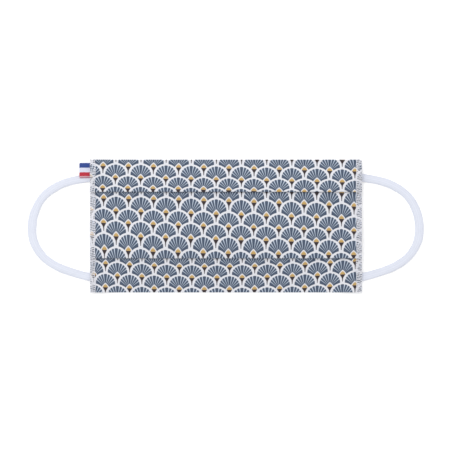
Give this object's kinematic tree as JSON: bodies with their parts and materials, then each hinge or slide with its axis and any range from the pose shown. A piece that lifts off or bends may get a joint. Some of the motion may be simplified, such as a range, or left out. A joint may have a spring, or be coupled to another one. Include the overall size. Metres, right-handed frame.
{
  "type": "pleated cloth face mask",
  "caption": "Cloth mask with knife pleats, overlocked side seams, flat elastic ear loops and a folded ribbon tab, lying with its front up.",
  "frame": {"origin": "on the table, under the middle of the box round the body, the side seams and the ribbon tab; the body's own middle is 3.5 mm towards +X", "axes": "+X across the mask, away from the ribbon tab; +Y towards the nose edge; +Z out of the mask's front"},
  "size_m": [0.277, 0.0932, 0.0109],
  "materials": {
    "printed_cotton": "plain weave cotton with a blue, white and gold scallop print, white on the back",
    "overlock_thread": "white overlock thread, close stitches",
    "knitted_elastic": "soft white knitted elastic, fine ribs along its length",
    "striped_ribbon": "grosgrain ribbon with blue, white and red stripes"
  },
  "bodies": {
    "root": {"pleated_body": "printed_cotton", "side_seam_left": "overlock_thread", "side_seam_right": "overlock_thread", "ear_loop_left": "knitted_elastic", "ear_loop_right": "knitted_elastic", "ribbon_tab": "striped_ribbon"}
  },
  "joints": []
}
